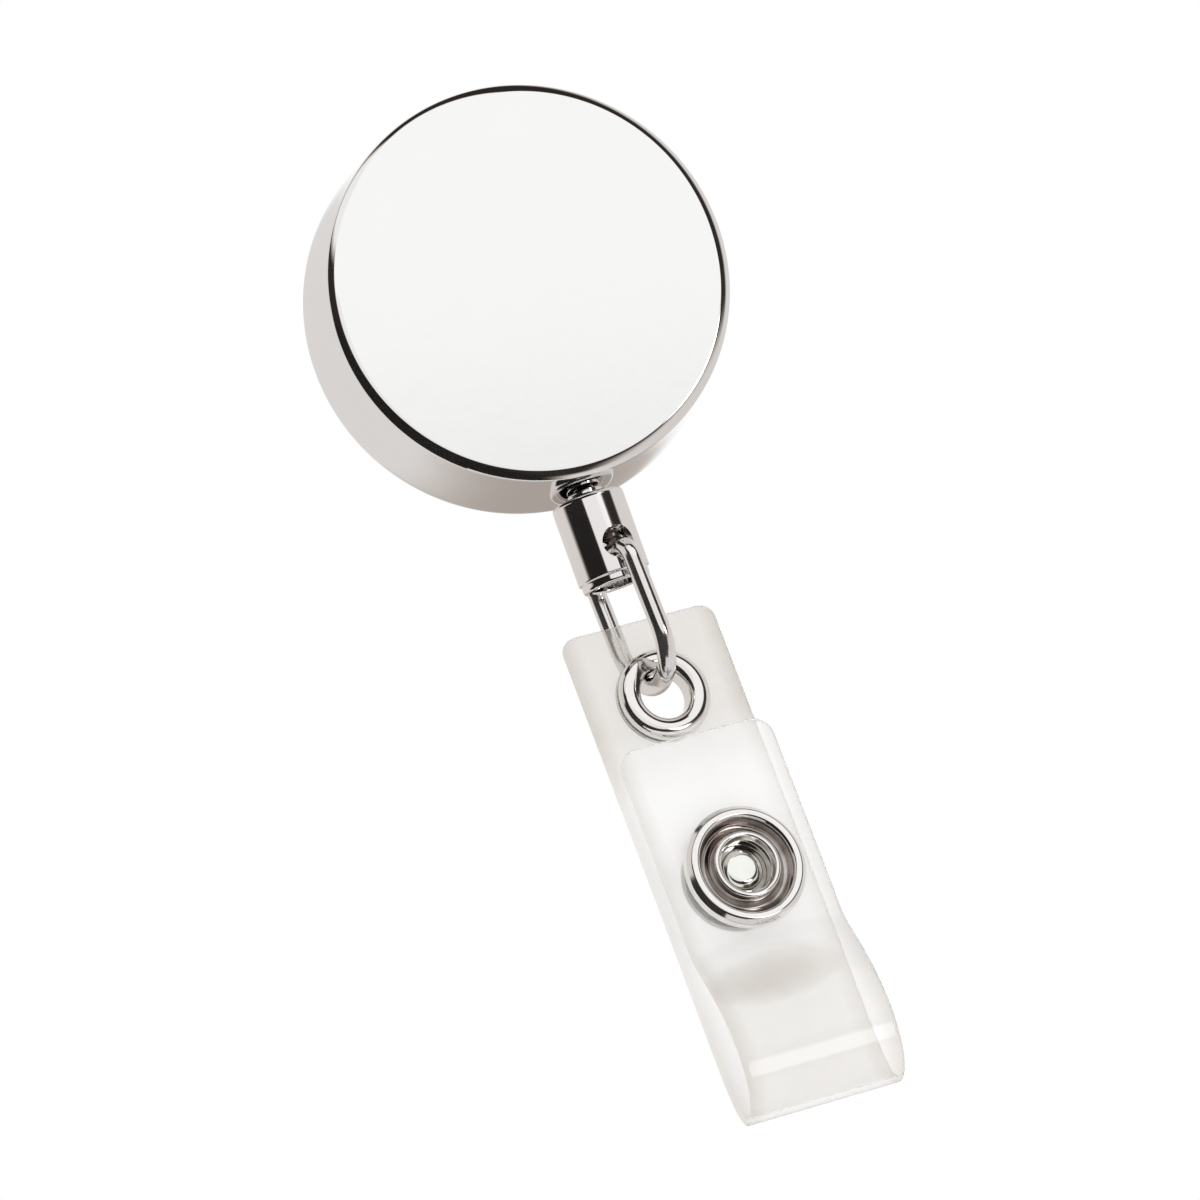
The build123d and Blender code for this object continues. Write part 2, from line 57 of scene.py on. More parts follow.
JOINTS = {joint["name"]: joint for joint in frame["joints"]}

# ---------------------------------------------------------------- places, all from the frame


def local_frame(x_axis, y_axis, origin):
    """A frame in metres whose Y axis is exact and whose X axis is as near the given one as it can be."""
    y = Vector(y_axis).normalized()
    z = Vector(x_axis).cross(y).normalized()
    x = y.cross(z)
    turn = Matrix((x, y, z)).transposed().to_4x4()
    return Matrix.Translation(origin) @ turn


def joint_axis(name):
    return Vector(JOINTS[name]["axis"])


def joint_place(name):
    return Vector(JOINTS[name]["pos_m"])


AXIS_Y = joint_place("barrel_swivel").y
CASE = Matrix.Identity(4)
BARREL_AXIS = Matrix.Translation((0, AXIS_Y, 0))
ACROSS = joint_axis("link_swing").cross(Vector((0, 0, 1)))
HANG = local_frame(ACROSS, joint_axis("link_swing"), (0, AXIS_Y, 0))
LINK = local_frame(joint_axis("eyelet_rock"), joint_axis("link_swing"), joint_place("link_swing"))
EYELET = local_frame(joint_axis("flap_open"), joint_axis("strap_swing"), joint_place("strap_swing"))
SNAP_BELOW_EYELET = 15.15
SNAP = EYELET @ Matrix.Translation((0, 0, -SNAP_BELOW_EYELET * MM))

# ---------------------------------------------------------------- sizes in millimetres

CASE_LOW, CASE_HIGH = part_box("front_cover")
CASE_R = (CASE_HIGH.x - CASE_LOW.x) / 2 / MM
CASE_DEPTH = -CASE_LOW.y / MM
CASE_WALL = 0.7
FACE_R = 14.65
CORNER_R = 15.45
WALL_MID_R = 15.85
BACK_ROUND = 4.0
STRAP_W = 12.8
STRAP_T = 0.5
CROSS_HOLE_R = 1.3
CROSS_HOLE_Z = -20.4

# ---------------------------------------------------------------- mesh helpers

NEARLY_HALF = 0.49
SHARP_DEGREES = 40


def rounded(corners, closed=True, steps=6):
    """Points of an outline whose corners, given as (x, y, radius), are rounded."""
    points = []
    count = len(corners)
    for i, (x, y, radius) in enumerate(corners):
        here = Vector((x, y))
        at_end = not closed and i in (0, count - 1)
        if radius <= 0 or at_end:
            points.append(here)
            continue
        before = Vector(corners[i - 1][:2]) - here
        after = Vector(corners[(i + 1) % count][:2]) - here
        half = before.angle(after) / 2
        if half > NEARLY_HALF * math.pi:
            points.append(here)
            continue
        reach = min(radius / math.tan(half), NEARLY_HALF * before.length, NEARLY_HALF * after.length)
        centre_off = reach / math.cos(half)
        middle = (before.normalized() + after.normalized()).normalized()
        centre = here + middle * centre_off
        start = here + before.normalized() * reach - centre
        end = here + after.normalized() * reach - centre
        sweep = start.angle_signed(end)
        for step in range(steps + 1):
            turn = -sweep * step / steps
            points.append(centre + Matrix.Rotation(turn, 2) @ start)
    return points


def supported(points, closed=True, gap=0.04):
    """The outline with an extra point close to each end of every long run, which keeps shading tight."""
    out = []
    count = len(points)
    for i in range(count if closed else count - 1):
        a, b = points[i], points[(i + 1) % count]
        out.append(a)
        run = b - a
        if run.length > 4 * gap:
            out.append(a + run * gap / run.length)
            out.append(b - run * gap / run.length)
    if not closed:
        out.append(points[-1])
    return out


def finish_mesh(bm, name):
    """Makes an object of a bmesh, with outward normals, smooth faces and edges sharp past an angle."""
    bmesh.ops.remove_doubles(bm, verts=bm.verts, dist=1e-8)
    bmesh.ops.recalc_face_normals(bm, faces=bm.faces)
    mesh = bpy.data.meshes.new(name)
    bm.to_mesh(mesh)
    bm.free()
    mesh.polygons.foreach_set("use_smooth", [True] * len(mesh.polygons))
    mesh.set_sharp_from_angle(angle=math.radians(SHARP_DEGREES))
    piece = bpy.data.objects.new(name, mesh)
    bpy.context.scene.collection.objects.link(piece)
    return piece


def lathe(name, outline, place, axis="Y", segments=192):
    """A turned piece: a closed outline of (radius, height) in millimetres, round the local Y or Z axis.

    Its UV map holds the radius and the height in metres."""
    bm = bmesh.new()
    uv = bm.loops.layers.uv.new("turned")
    rings = []
    for radius, height in outline:
        ring = []
        for i in range(segments if radius > 1e-6 else 1):
            turn = 2 * math.pi * i / segments
            side, up = radius * math.cos(turn), radius * math.sin(turn)
            point = (side, height, up) if axis == "Y" else (side, up, height)
            ring.append(bm.verts.new(place @ (Vector(point) * MM)))
        rings.append(ring)
    for i, ring in enumerate(rings):
        following = rings[(i + 1) % len(rings)]
        for k in range(segments):
            corners = (ring[k % len(ring)], ring[(k + 1) % len(ring)])
            corners += (following[(k + 1) % len(following)], following[k % len(following)])
            unique = list(dict.fromkeys(corners))
            if len(unique) > 2:
                face = bm.faces.new(unique)
                for loop in face.loops:
                    radius, height = outline[i if loop.vert in corners[:2] else (i + 1) % len(outline)]
                    loop[uv].uv = (radius * MM, height * MM)
    return finish_mesh(bm, name)


def tube(name, path, radius, place, sides=32, uv_length=None):
    """A round tube along points in millimetres, with closed ends."""
    bm = bmesh.new()
    count = len(path)
    forward = (path[1] - path[0]).normalized()
    side = forward.orthogonal().normalized()
    rings = []
    for i, point in enumerate(path):
        ahead = (path[min(i + 1, count - 1)] - path[max(i - 1, 0)]).normalized()
        side = (side - ahead * side.dot(ahead)).normalized()
        other = ahead.cross(side)
        ring = []
        for k in range(sides):
            turn = 2 * math.pi * k / sides
            off = (side * math.cos(turn) + other * math.sin(turn)) * radius
            ring.append(bm.verts.new(place @ ((point + off) * MM)))
        rings.append(ring)
    uv = bm.loops.layers.uv.new("cord") if uv_length else None
    for i in range(count - 1):
        for k in range(sides):
            nxt = (k + 1) % sides
            face = bm.faces.new((rings[i][k], rings[i][nxt], rings[i + 1][nxt], rings[i + 1][k]))
            if uv:
                across = (k / sides, (k + 1) / sides, (k + 1) / sides, k / sides)
                along = (uv_length[i], uv_length[i], uv_length[i + 1], uv_length[i + 1])
                for loop, u, v in zip(face.loops, across, along):
                    loop[uv].uv = (u, v)
    bm.faces.new(rings[0])
    bm.faces.new(rings[-1])
    return finish_mesh(bm, name)


def b_spline(controls, per_span=24):
    """Points of a clamped cubic B-spline in the plane."""
    first, last = controls[0], controls[-1]
    knots = [2 * Vector(first) - Vector(controls[1])] + [Vector(c) for c in controls]
    knots.append(2 * Vector(last) - Vector(controls[-2]))
    points = []
    for i in range(1, len(knots) - 2):
        a, b, c, d = knots[i - 1], knots[i], knots[i + 1], knots[i + 2]
        for step in range(per_span):
            t = step / per_span
            weights = (
                (1 - t) ** 3,
                3 * t**3 - 6 * t**2 + 4,
                -3 * t**3 + 3 * t**2 + 3 * t + 1,
                t**3,
            )
            points.append(sum((w * p for w, p in zip(weights, (a, b, c, d))), Vector((0, 0))) / 6)
    points.append(Vector(last))
    return points


def evenly(points, spacing):
    """The same line, with points the same distance apart."""
    lengths = [0.0]
    for a, b in zip(points, points[1:]):
        lengths.append(lengths[-1] + (b - a).length)
    count = max(2, round(lengths[-1] / spacing))
    out = []
    k = 0
    for i in range(count + 1):
        want = lengths[-1] * i / count
        while k < len(lengths) - 2 and lengths[k + 1] < want:
            k += 1
        share = (want - lengths[k]) / max(lengths[k + 1] - lengths[k], 1e-12)
        out.append(points[k].lerp(points[k + 1], min(share, 1.0)))
    return out


def strip(name, line, width, thickness, corner_r, place, across=24, edge=0.08, shape=None):
    """A flat strip along a line in the local YZ plane, its ends' corners rounded and its edges softened.

    corner_r gives the corner radius at the line's start and end. shape(x, point) moves a point outwards.
    Its UV map holds the distances across and along the strip in metres."""
    bm = bmesh.new()
    uv = bm.loops.layers.uv.new("strip")
    total = sum((b - a).length for a, b in zip(line, line[1:]))
    rings, marks = [], []
    done = 0.0
    for i, point in enumerate(line):
        if i:
            done += (point - line[i - 1]).length
        ahead = (line[min(i + 1, len(line) - 1)] - line[max(i - 1, 0)]).normalized()
        out = Vector((ahead.y, -ahead.x))
        half_w = width / 2
        for radius, distance in zip(corner_r, (done, total - done)):
            if distance < radius:
                half_w = min(half_w, width / 2 - radius + math.sqrt(radius**2 - (radius - distance) ** 2))
        end_soft = min(1.0, min(done, total - done) / edge)
        half_t = thickness / 2 - edge + edge * math.sqrt(max(0.0, 1 - (1 - end_soft) ** 2))
        flat_w = half_w - edge
        soft_w, soft_t = flat_w + edge * 0.7, half_t - edge * 0.3
        section = [(-flat_w + 2 * flat_w * k / across, half_t) for k in range(across + 1)]
        section += [(soft_w, soft_t), (half_w, half_t - edge), (half_w, edge - half_t), (soft_w, -soft_t)]
        section += [(flat_w - 2 * flat_w * k / across, -half_t) for k in range(across + 1)]
        section += [(-soft_w, -soft_t), (-half_w, edge - half_t), (-half_w, half_t - edge), (-soft_w, soft_t)]
        ring = []
        for x, t in section:
            moved = shape(x, point) if shape else 0.0
            plane = point + out * (t + moved)
            ring.append(bm.verts.new(place @ (Vector((x, plane.x, plane.y)) * MM)))
        rings.append(ring)
        marks.append([(x, done) for x, t in section])
    count = len(rings[0])
    for i in range(len(rings) - 1):
        for k in range(count):
            nxt = (k + 1) % count
            face = bm.faces.new((rings[i][k], rings[i][nxt], rings[i + 1][nxt], rings[i + 1][k]))
            corner_marks = (marks[i][k], marks[i][nxt], marks[i + 1][nxt], marks[i + 1][k])
            for loop, (x, s) in zip(face.loops, corner_marks):
                loop[uv].uv = ((x + width / 2) * MM, s * MM)
    for ring in (rings[0], rings[-1]):
        for k in range(across):
            front_a, front_b = ring[k], ring[k + 1]
            back_a, back_b = ring[2 * across + 5 - k], ring[2 * across + 4 - k]
            bm.faces.new((front_a, front_b, back_b, back_a))
        bm.faces.new([ring[across + j] for j in range(6)])
        bm.faces.new([ring[(2 * across + 5 + j) % count] for j in range(6)])
    return finish_mesh(bm, name)


def bore(piece, place, centre, radius, axis="Y", length=60.0, sides=96):
    """Cuts a round hole through a piece, along the local Y axis, or Z."""
    outline = [(0, -length / 2), (radius, -length / 2), (radius, length / 2), (0, length / 2)]
    here = place @ Matrix.Translation(Vector(centre) * MM)
    cutter = lathe(piece.name + "_cutter", outline, here, axis, sides)
    cut = piece.modifiers.new("bore", "BOOLEAN")
    cut.operation = "DIFFERENCE"
    cut.solver = "EXACT"
    cut.object = cutter
    bpy.context.view_layer.update()
    evaluated = piece.evaluated_get(bpy.context.evaluated_depsgraph_get())
    mesh = bpy.data.meshes.new_from_object(evaluated)
    piece.modifiers.remove(cut)
    piece.data = mesh
    mesh.set_sharp_from_angle(angle=math.radians(SHARP_DEGREES))
    bpy.data.objects.remove(cutter)
    return piece


# ---------------------------------------------------------------- materials


class Graph:
    """A node tree, with short calls for the nodes that calculate."""

    def __init__(self, tree):
        self.nodes, self.links = tree.nodes, tree.links

    def feed(self, socket, value):
        """Sets a socket to a number, or links it to another node's output."""
        if isinstance(value, (int, float)):
            socket.default_value = value
        else:
            self.links.new(value, socket)

    def maths(self, operation, a, b=0.0):
        node = self.nodes.new("ShaderNodeMath")
        node.operation = operation
        for socket, value in zip(node.inputs, (a, b)):
            self.feed(socket, value)
        return node.outputs["Value"]

    def band(self, value, low, high, out_low, out_high, interpolation="LINEAR"):
        """Maps a value from one range to another, clamped."""
        node = self.nodes.new("ShaderNodeMapRange")
        node.interpolation_type = interpolation
        limits = {"From Min": low, "From Max": high, "To Min": out_low, "To Max": out_high}
        for socket, number in limits.items():
            node.inputs[socket].default_value = number
        self.links.new(value, node.inputs["Value"])
        return node.outputs["Result"]


class Shader(Graph):
    """A node material with a Principled shader, and short calls that add what feeds it."""

    def __init__(self, name, color, **sockets):
        self.material = bpy.data.materials.new(name)
        self.material.use_nodes = True
        super().__init__(self.material.node_tree)
        self.main = self.nodes["Principled BSDF"]
        self.main.inputs["Base Color"].default_value = (*color, 1)
        for socket, value in sockets.items():
            self.main.inputs[socket.replace("_", " ")].default_value = value
        self.place = self.nodes.new("ShaderNodeTexCoord")

    def noise(self, scale, detail=4.0, roughness=0.55, stretch=(1, 1, 1), source="Object"):
        mapping = self.nodes.new("ShaderNodeMapping")
        mapping.inputs["Scale"].default_value = stretch
        self.links.new(self.place.outputs[source], mapping.inputs["Vector"])
        noise = self.nodes.new("ShaderNodeTexNoise")
        noise.inputs["Scale"].default_value = scale
        noise.inputs["Detail"].default_value = detail
        noise.inputs["Roughness"].default_value = roughness
        self.links.new(mapping.outputs["Vector"], noise.inputs["Vector"])
        return noise.outputs["Fac"]

    def split(self, source):
        """The X, Y and Z of a set of texture coordinates."""
        node = self.nodes.new("ShaderNodeSeparateXYZ")
        self.links.new(self.place.outputs[source], node.inputs["Vector"])
        return node.outputs

    def mixed(self, a, share_a, b, share_b):
        """A weighted sum."""
        return self.maths("ADD", self.maths("MULTIPLY", a, share_a), self.maths("MULTIPLY", b, share_b))

    def tint(self, value, low, high):
        """Colours from one tone to another along a value from 0 to 1, into the base colour."""
        ramp = self.nodes.new("ShaderNodeValToRGB")
        ramp.color_ramp.elements[0].color = (*low, 1)
        ramp.color_ramp.elements[1].color = (*high, 1)
        self.links.new(value, ramp.inputs["Fac"])
        self.links.new(ramp.outputs["Color"], self.main.inputs["Base Color"])

    def roughen(self, value, low, high):
        """Roughness from low to high, over the part of its range that noise reaches."""
        self.links.new(self.band(value, 0.3, 0.7, low, high), self.main.inputs["Roughness"])

    def bump(self, height, strength, distance):
        node = self.nodes.new("ShaderNodeBump")
        node.inputs["Strength"].default_value = strength
        node.inputs["Distance"].default_value = distance
        self.links.new(height, node.inputs["Height"])
        self.links.new(node.outputs["Normal"], self.main.inputs["Normal"])


def plated(name, bright, dull, rough_low, rough_high, waviness=0.02):
    """Polished plating: faint smudges in tone and gloss, fine polishing lines, and a slight waviness."""
    shader = Shader(name, bright, Metallic=1.0)
    smudge = shader.noise(260, detail=5)
    shader.tint(smudge, dull, bright)
    fine = shader.noise(2600, detail=6, stretch=(1, 1, 3))
    shader.roughen(shader.mixed(smudge, 0.7, fine, 0.3), rough_low, rough_high)
    shader.bump(shader.noise(700, detail=3), waviness, 0.0001)
    return shader.material


def plate_with_recess_shade(name, bright, dark, recess):
    """Nickel plate with painted shade, made patchy by noise, in a turned recess between two radii in
    millimetres.
    """
    shader = Shader(name, bright, Metallic=1.0)
    smudge = shader.noise(420, detail=5)
    radius = shader.split("UV")["X"]
    inner = shader.band(radius, (recess[0] - 0.1) * MM, (recess[0] + 0.15) * MM, 0, 1)
    outer = shader.band(radius, (recess[1] - 0.15) * MM, (recess[1] + 0.1) * MM, 1, 0)
    patchy = shader.band(smudge, 0.3, 0.7, 0.55, 1.0)
    # Painted shade: darker in the recess between the two radii.
    recess_shade = shader.maths("MULTIPLY", shader.maths("MULTIPLY", inner, outer), patchy)
    lightness = shader.maths("SUBTRACT", 1.0, shader.maths("MULTIPLY", smudge, 0.12))
    shader.tint(shader.maths("SUBTRACT", lightness, recess_shade), dark, bright)
    shader.roughen(smudge, 0.05, 0.15)
    shader.bump(shader.noise(900, detail=3), 0.03, 0.0001)
    return shader.material


def brushed(name, bright, dull, stretch, rough=(0.22, 0.4)):
    """Brushed or drawn steel: long fine lines along one direction."""
    shader = Shader(name, bright, Metallic=1.0)
    lines = shader.noise(1500, detail=8, roughness=0.7, stretch=stretch)
    shader.tint(lines, dull, bright)
    shader.roughen(lines, *rough)
    shader.bump(lines, 0.15, 0.00005)
    return shader.material


def moulded(name, light, dark, rough=(0.4, 0.6)):
    """Moulded plastic with a fine spark-eroded grain."""
    shader = Shader(name, light)
    cloud = shader.noise(300, detail=5)
    shader.tint(cloud, dark, light)
    shader.roughen(cloud, *rough)
    shader.bump(shader.noise(5000, detail=3), 0.2, 0.00005)
    return shader.material


def braid(name, light, dark, strands_round, strands_along, source):
    """Braided nylon: two crossing families of strands over fine fibres."""
    shader = Shader(name, light, Roughness=0.62)
    place = shader.split(source)
    around = shader.maths("MULTIPLY", place["X"], strands_round)
    along = shader.maths("MULTIPLY", place["Y"], strands_along)
    left = shader.maths("ABSOLUTE", shader.maths("SINE", shader.maths("ADD", along, around)))
    right = shader.maths("ABSOLUTE", shader.maths("SINE", shader.maths("SUBTRACT", along, around)))
    weave = shader.maths("MULTIPLY", left, right)
    fibre = shader.noise(9000, detail=4)
    height = shader.maths("ADD", weave, shader.maths("MULTIPLY", fibre, 0.25))
    shader.tint(height, dark, light)
    shader.bump(height, 0.6, 0.00012)
    return shader.material


def vinyl(name):
    """Frosted soft vinyl with a slow waviness from rolling, and fine scuffs.

    It holds painted shade: darker at the tab end by the eyelet, round the fold, along its edges and in an
    oval below the snap.
    Places on it are in metres across and along the flat strip."""
    oval_middle, oval_half = (0.0052, 0.0516), (0.0056, 0.0022)
    middle, edge_width = STRAP_W / 2 * MM, 1.5 * MM
    tab_shade_span, fold_from, fold_to = (0.008, 0.014), (0.028, 0.036), (0.052, 0.060)
    shader = Shader(name, (0.96, 0.955, 0.945), IOR=1.06, Coat_Weight=0.55, Coat_Roughness=0.06, Coat_IOR=1.5)
    shader.main.inputs["Transmission Weight"].default_value = 0.85
    cloud = shader.noise(220, detail=5, source="UV")
    place = shader.split("UV")
    off = [shader.maths("DIVIDE", shader.maths("SUBTRACT", place[axis], at), half)
           for axis, at, half in zip("XY", oval_middle, oval_half)]
    spread = shader.maths("ADD", *(shader.maths("MULTIPLY", way, way) for way in off))
    from_middle = shader.maths("ABSOLUTE", shader.maths("SUBTRACT", place["X"], middle))
    lightness = shader.maths("MULTIPLY", cloud, 0.15)
    for part in (
        # Painted shade: the tab end by the eyelet is darker.
        shader.band(place["Y"], *tab_shade_span, 0.5, 0.92),
        # Painted shade: darker round the fold, between the end of the first span and the start of the second.
        shader.band(place["Y"], *fold_from, 0.0, -0.18),
        shader.band(place["Y"], *fold_to, 0.0, 0.18),
        # Painted shade: darker along both edges.
        shader.band(from_middle, middle - edge_width, middle, 0.0, -0.34),
        # Painted shade: a dark oval below the snap, where the flap is drawn in.
        shader.band(spread, 0.0, 1.15, -0.48, 0.0),
    ):
        lightness = shader.maths("ADD", lightness, part)
    # The dark end of this ramp is the colour of the painted shade.
    shader.tint(lightness, (0.60, 0.55, 0.49), (0.997, 0.995, 0.992))
    scuffs = shader.noise(900, detail=7, stretch=(1, 0.25, 1), source="UV")
    shader.roughen(shader.mixed(cloud, 0.5, scuffs, 0.5), 0.13, 0.22)
    waves = shader.noise(160, detail=2, source="UV")
    grain = shader.noise(6000, detail=3, source="UV")
    height = shader.maths("ADD", waves, shader.maths("MULTIPLY", grain, 0.03))
    shader.bump(height, 0.1, 0.0003)
    return shader.material


CHROME = plated("case_chrome", (0.90, 0.897, 0.893), (0.88, 0.876, 0.871), 0.025, 0.06)
BACK_CHROME = plated("back_plate", (0.80, 0.80, 0.80), (0.72, 0.72, 0.72), 0.08, 0.18, 0.05)
CLIP_CHROME = plated("clip_plate", (0.82, 0.82, 0.82), (0.75, 0.75, 0.75), 0.07, 0.16, 0.04)
BARREL_CHROME = plated("barrel_chrome", (0.90, 0.88, 0.87), (0.84, 0.82, 0.81), 0.03, 0.08)
WIRE_CHROME = plated("wire_chrome", (0.90, 0.88, 0.87), (0.80, 0.78, 0.77), 0.10, 0.17)
NICKEL = plated("nickel_plate", (0.88, 0.86, 0.84), (0.80, 0.78, 0.76), 0.05, 0.13)
# These two snap finishes hold painted shade, darker in their turned recesses.
SNAP_RING_NICKEL = plate_with_recess_shade("snap_ring_nickel", (0.90, 0.88, 0.86), (0.26, 0.22, 0.20), (2.8, 3.75))
SNAP_CUP_NICKEL = plate_with_recess_shade("snap_cup_nickel", (0.92, 0.92, 0.88), (0.24, 0.22, 0.19), (1.55, 2.2))
RIVET_STEEL = brushed("rivet_steel", (0.72, 0.72, 0.72), (0.60, 0.60, 0.60), (1, 1, 1), (0.18, 0.32))
VINYL = vinyl("strap_vinyl")
CORD = braid("cord_braid", (0.07, 0.07, 0.075), (0.015, 0.015, 0.017), 6 * math.pi, 2600, "UV")
WOUND_CORD = braid("wound_cord", (0.07, 0.07, 0.075), (0.015, 0.015, 0.017), 3600, 2600, "Object")


def clothe(piece, material, body):
    """Gives a piece its material, and lets it ride on its body."""
    piece.data.materials.clear()
    piece.data.materials.append(material)
    if body:
        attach(piece, body)


# ---------------------------------------------------------------- case


def arc(centre, radius, start, end, steps):
    """Points on an arc, its angles in degrees."""
    points = []
    for i in range(steps + 1):
        turn = math.radians(start + (end - start) * i / steps)
        points.append(Vector((centre[0] + radius * math.cos(turn), centre[1] + radius * math.sin(turn))))
    return points


def case_shell():
    """The mirror-polished cup: flat face, tight corner, gently tapered wall, and the curled back rim."""
    front = -CASE_DEPTH
    curl_r = CASE_R - BACK_ROUND
    roll_off, arris_r, steps = 32.0, 0.16, 24
    run = (CORNER_R - FACE_R - 0.5 * arris_r) / steps
    corner = [Vector((FACE_R, front))]
    for i in range(steps):
        slope = math.tan(math.radians(roll_off * ((i + 0.5) / steps) ** 0.4))
        corner.append(corner[-1] + Vector((run, run * slope)))
    turn = math.radians(roll_off)
    centre = corner[-1] - arris_r * Vector((math.sin(turn), -math.cos(turn)))
    corner += arc(centre, arris_r, roll_off - 90, -4, 10)[1:]
    wall = b_spline([(CORNER_R + 0.02, corner[-1].y + 0.12), (CORNER_R + 0.14, front + 2.6),
                     (WALL_MID_R - 0.13, front / 2 - 2), (WALL_MID_R + 0.02, front / 2),
                     (CASE_R - 0.02, -BACK_ROUND - 0.6), (CASE_R, -BACK_ROUND)], 8)
    curl = arc((curl_r, -BACK_ROUND), BACK_ROUND, 0, 90, 24)[1:]
    lip = [Vector((curl_r - 0.1, -0.04)), Vector((curl_r - 0.14, -0.2)),
           Vector((curl_r - 0.14, -CASE_WALL + 0.15))]
    inner_curl = arc((curl_r, -BACK_ROUND), BACK_ROUND - CASE_WALL, 90, 0, 16)
    inner = [Vector((CORNER_R - CASE_WALL, front + 2 * CASE_WALL)),
             Vector((FACE_R - CASE_WALL, front + CASE_WALL))]
    outer = [Vector((0, front)), Vector((FACE_R - 0.3, front))] + corner + wall + curl + lip
    profile = supported(outer + inner_curl + inner + [Vector((0, front + CASE_WALL))])
    piece = lathe("case_shell", profile, CASE, "Y", 384)
    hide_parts("front_cover")
    clothe(piece, CHROME, "case")


def back_plate():
    """The pressed back plate with a shallow ring around the clip's seat."""
    outline = [(0, 0, 0), (8.6, 0, 0.3), (8.9, -0.22, 0.3), (9.7, -0.22, 0.3), (10.0, 0, 0.3),
               (11.55, 0, 0.35), (11.75, -0.7, 0.2), (12.0, -0.7, 0), (13.0, -0.85, 0.4), (14.4, -1.75, 0.2),
               (13.9, -2.2, 0.2), (12.6, -1.5, 0.4), (10.9, -1.4, 0.2), (10.7, -0.8, 0.2), (0, -0.8, 0)]
    piece = lathe("back_plate", supported(rounded(outline)), CASE)
    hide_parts("back_cover")
    clothe(piece, BACK_CHROME, "case")


def rivet():
    """The clip's rivet, its low head dimpled by the riveting tool."""
    outline = [(0, 1.3, 0), (0.55, 1.32, 0.2), (0.85, 1.52, 0.15), (1.9, 1.48, 0.35), (2.4, 1.2, 0.3),
               (2.4, 0.8, 0.05), (1.2, 0.8, 0.05), (1.2, -2.6, 0.05), (0, -2.6, 0)]
    piece = lathe("rivet_head", supported(rounded(outline)), CASE, "Y", 128)
    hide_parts("clip_rivet")
    clothe(piece, RIVET_STEEL, "case")


def belt_clip():
    """The slide-on clip, bent from one strip, with a crease that grips and a flared lip."""
    seat_y, leg_y, bend_z = 0.4, 6.4, 12.5
    route = rounded([(seat_y, -7.0, 0), (seat_y, bend_z, 3.0), (leg_y, bend_z, 3.0), (leg_y, -3.4, 5.0),
                     (2.9, -8.5, 0.9), (5.2, -11.3, 0)], False, 20)
    line = evenly(route, 0.25)
    piece = strip("clip_strip", line, 11.0, 0.8, (2.0, 1.2), CASE, 16, 0.14)
    bore(piece, CASE, (0, 0, 0), 1.2, length=4.0)
    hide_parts("belt_clip")
    clothe(piece, CLIP_CHROME, "case")


def bushing():
    """The polished bushing that the cord leaves by, flanged inside the wall, its mouth rounded."""
    low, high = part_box("exit_bushing")
    bottom, top = low.z / MM, high.z / MM
    outline = [(0.65, bottom, 0.25), (1.4, bottom, 0.1), (1.4, top - 0.55, 0.05), (2.4, top - 0.55, 0.1),
               (2.4, top, 0.15), (0.65, top, 0.2)]
    piece = lathe("bushing_ring", supported(rounded(outline)), BARREL_AXIS, "Z", 96)
    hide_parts("exit_bushing")
    clothe(piece, BARREL_CHROME, "case")


# ---------------------------------------------------------------- cord, barrel and link


def cord():
    """The cord from the winding to the stop. Its lower run draws out straight as the cord is pulled.

    Its points are closest in the middle of that run, which a pull stretches most, so they are evenly
    apart at full pull. The braid's UV counts the length at full pull."""
    pull = JOINTS["cord_pull"]["range_m"][1]
    low_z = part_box("cord_stop")[1].z / MM + 0.02
    high_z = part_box("exit_bushing")[1].z / MM - 0.85
    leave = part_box("cord_tail")[1] / MM
    bend = rounded([(leave.x - 0.36, leave.z - 0.27, 0), (0, -13.4, 2.7), (0, high_z, 0)], False, 16)
    path = [Vector((p.x, 0, p.y)) for p in bend]
    drawn = 120
    for i in range(1, drawn + 1):
        share = i / drawn
        eased = 0.5 - math.sin(math.asin(1 - 2 * share) / 3)
        path.append(Vector((0, 0, high_z + (low_z - high_z) * eased)))
    lengths = [0.0]
    for a, b in zip(path, path[1:]):
        lengths.append(lengths[-1] + (b - a).length * MM)
    first_drawn = len(bend) - 1
    for i in range(first_drawn, len(path)):
        lengths[i] += pull * (i - first_drawn) / drawn
    piece = tube("cord_line", path, 0.45, BARREL_AXIS, 24, lengths)
    clothe(piece, CORD, None)
    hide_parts("cord_tail")
    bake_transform(piece)


def barrel():
    """The turned barrel, with a relieved lower rim, its bore and the cross hole for the link."""
    low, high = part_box("barrel")
    top, bottom, radius = high.z / MM, low.z / MM, (high.x - low.x) / 2 / MM
    outline = [(0.65, top, 0.1), (radius, top, 0.38), (radius, bottom + 0.75, 0.12),
               (radius - 0.17, bottom + 0.62, 0.1), (radius - 0.17, bottom, 0.25), (1.9, bottom, 0.15),
               (1.9, top - 1.0, 0.2), (0.65, top - 1.0, 0.1)]
    piece = lathe("barrel_body", supported(rounded(outline)), HANG, "Z", 256)
    bore(piece, HANG, (0, 0, CROSS_HOLE_Z), CROSS_HOLE_R, length=20.0)
    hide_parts("barrel")
    clothe(piece, BARREL_CHROME, "barrel")


